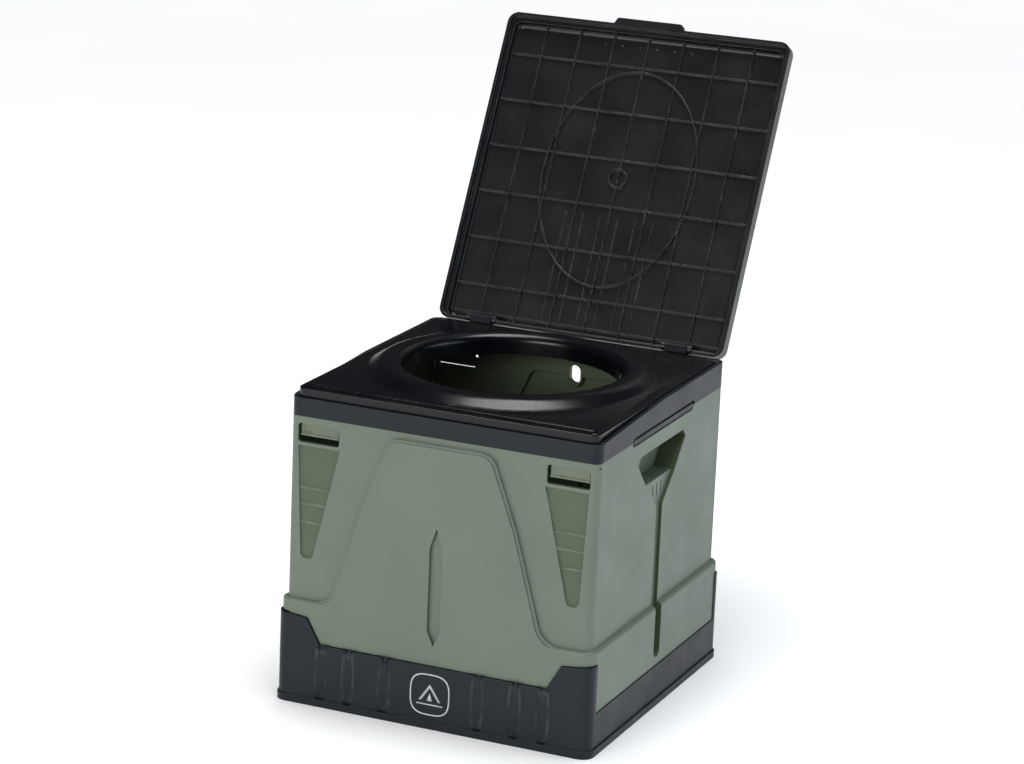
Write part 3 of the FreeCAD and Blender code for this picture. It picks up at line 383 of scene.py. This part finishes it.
def emblem(shape):
    """A generic badge: a soft-cornered ring with a plain tent and ground line inside."""
    middle, half_ring, line, squareness = 33 * MM, 20 * MM, 1.2 * MM, 3.2
    outer = round_outline(middle, half_ring, half_ring, squareness)
    inner = round_outline(middle, half_ring - line, half_ring - line, squareness)
    band(shape, outer, inner, INK_BACK, INK_FRONT, on_tray_front)
    peak, foot, half = middle + 10 * MM, middle - 6 * MM, 11 * MM
    cloth, peak_cloth = 2.4 * MM, 3.6 * MM
    tent = [(-half, foot), (0, peak), (half, foot), (half - cloth, foot), (0, peak - peak_cloth),
            (-half + cloth, foot)]
    half_door, door_top = 2.6 * MM, middle + 1.5 * MM
    door = [(-half_door, foot), (0, door_top), (half_door, foot)]
    half_ground, ground_top = 13 * MM, foot - 3 * MM
    ground_foot = ground_top - line
    ground = [(-half_ground, ground_foot), (half_ground, ground_foot),
              (half_ground, ground_top), (-half_ground, ground_top)]
    for outline in (tent, door, ground):
        slab(shape, list(reversed(outline)), INK_BACK, INK_FRONT, on_tray_front)


new_piece("tray_emblem", emblem, ink, "base")

FLUTE_MIDDLES = [middle * MM for middle in (-112, -84, -47, 47, 84, 112)]
FLUTE_HALF = 8 * MM
FLUTE_RISE = 0.8 * MM
FLUTE_FOOT, FLUTE_TOP = 5 * MM, 61 * MM
FLUTE_SUNK = 0.05 * MM


def flute(shape, middle, facing):
    """A soft upright swelling on the tray's front or rear face, faded at both ends."""
    across, along = 10, 12
    rows = []
    for i in range(along + 1):
        t = i / along
        z = FLUTE_FOOT + (FLUTE_TOP - FLUTE_FOOT) * t
        fade = math.sin(math.pi * t) if 0 < i < along else 0.0
        row = []
        for j in range(across + 1):
            u = -1 + 2 * j / across
            height = FLUTE_RISE * fade * (math.cos(math.pi * u) + 1) / 2 - FLUTE_SUNK
            y = facing * (abs(tray_front) + height)
            row.append(shape.verts.new((middle + FLUTE_HALF * u, y, z)))
        rows.append(row)
    for i in range(along):
        for j in range(across):
            shape.faces.new((rows[i][j], rows[i][j + 1], rows[i + 1][j + 1], rows[i + 1][j]))
    # The rim lies in one plane just under the tray's skin, so one flat face closes the back.
    left = [row[0] for row in rows]
    right = [row[-1] for row in rows]
    shape.faces.new(rows[0] + right[1:] + rows[-1][-2::-1] + left[-2:0:-1])


def all_flutes(facing):
    """A builder for the six swellings on the tray face that looks the given way along y."""
    def build(shape):
        for middle in FLUTE_MIDDLES:
            flute(shape, middle, facing)
    return build


new_piece("tray_flutes_front", all_flutes(-1), charcoal, "base")
new_piece("tray_flutes_rear", all_flutes(1), charcoal, "base")


def bead_arc(radius, angles):
    """Points (y, z) on a circle round the axis of the seat plate's front bead."""
    bead_y, bead_z = -145.5 * MM, 299 * MM
    return [(bead_y + radius * math.cos(a), bead_z + radius * math.sin(a)) for a in angles]


def bead_ticks(shape):
    """Fine raised marks over the seat plate's front bead, with a bolder one in the middle."""
    crown, root = 5.12 * MM, 4.7 * MM
    angles = [math.radians(40 + index * 12.5) for index in range(9)]
    outline = bead_arc(crown, angles) + bead_arc(root, reversed(angles))
    pitch, half_fine, half_bold = 30 * MM, 0.5 * MM, 1.1 * MM
    for step in range(-4, 5):
        half = half_fine if step else half_bold
        middle = step * pitch
        slab(shape, outline, middle - half, middle + half, lambda y, z, x: Vector((x, y, z)))


new_piece("bead_ticks", bead_ticks, seat_black, "seat")

# ---------------------------------------------------------------- stage, light and camera


def add_floor():
    """A wide pale floor at the object's foot."""
    mesh = bpy.data.meshes.new("floor")
    half = 12.0
    corners = [(-half, -half, 0), (half, -half, 0), (half, half, 0), (-half, half, 0)]
    mesh.from_pydata(corners, [], [(0, 1, 2, 3)])
    floor = bpy.data.objects.new("floor", mesh)
    bpy.context.scene.collection.objects.link(floor)
    mesh.materials.append(pale_floor("pale_floor"))


def add_area_light(name, place, aim, size, power, colour):
    """A soft box at a place in metres, turned to its aim; size is width and height, power in watts."""
    lamp = bpy.data.lights.new(name, "AREA")
    lamp.shape = "RECTANGLE"
    lamp.size, lamp.size_y = size
    lamp.energy = power
    lamp.color = colour
    light = bpy.data.objects.new(name, lamp)
    bpy.context.scene.collection.objects.link(light)
    light.location = place
    direction = Vector(aim) - Vector(place)
    light.rotation_euler = direction.to_track_quat("-Z", "Y").to_euler()


def add_world():
    """A pale surround that lights softly but shows darker in reflections, as a studio ceiling does."""
    soft_level, mirrored_level = 0.62, 0.045
    world = bpy.data.worlds.new("studio")
    bpy.context.scene.world = world
    world.use_nodes = True
    tree = world.node_tree
    path = tree.nodes.new("ShaderNodeLightPath")
    level = tree.nodes.new("ShaderNodeMapRange")
    level.inputs["To Min"].default_value = soft_level
    level.inputs["To Max"].default_value = mirrored_level
    tree.links.new(path.outputs["Is Glossy Ray"], level.inputs["Value"])
    surround = tree.nodes["Background"]
    surround.inputs["Color"].default_value = (0.94, 0.97, 1.0, 1.0)
    tree.links.new(level.outputs["Result"], surround.inputs["Strength"])


def add_camera():
    """A long lens from the front right, a little above the seat, tipped as the view is."""
    azimuth, elevation, roll = (math.radians(a) for a in (23.32, 15.49, 2.44))
    target = Vector((-2.43, 3.42, 290.32)) * MM
    distance = 3269.3 * MM
    level = math.cos(elevation)
    back = Vector((math.sin(azimuth) * level, -math.cos(azimuth) * level, math.sin(elevation)))
    right = (-back).cross(Vector((0, 0, 1))).normalized()
    up = right.cross(-back)
    tipped_right = right * math.cos(roll) + up * math.sin(roll)
    tipped_up = up * math.cos(roll) - right * math.sin(roll)
    data = bpy.data.cameras.new("camera")
    data.sensor_width = 36.0
    data.lens = 122.87
    data.clip_end = 100.0
    camera = bpy.data.objects.new("camera", data)
    bpy.context.scene.collection.objects.link(camera)
    turn = Matrix((tipped_right, tipped_up, back)).transposed()
    camera.matrix_world = Matrix.Translation(target + back * distance) @ turn.to_4x4()
    bpy.context.scene.camera = camera


add_floor()
add_world()
add_area_light("front", (-0.7, -3.9, 1.3), (0, 0, 0.2), (2.2, 1.3), 74.0, (1.0, 0.99, 0.97))
add_area_light("side", (3.6, 0.6, 0.9), (0, 0, 0.2), (2.4, 1.3), 29.0, (0.68, 0.87, 1.0))
add_area_light("top", (0.1, 0.2, 3.2), (0, 0, 0.3), (2.0, 1.6), 85.0, (1.0, 1.0, 1.0))
bpy.context.scene.view_settings.view_transform = "Standard"
add_camera()
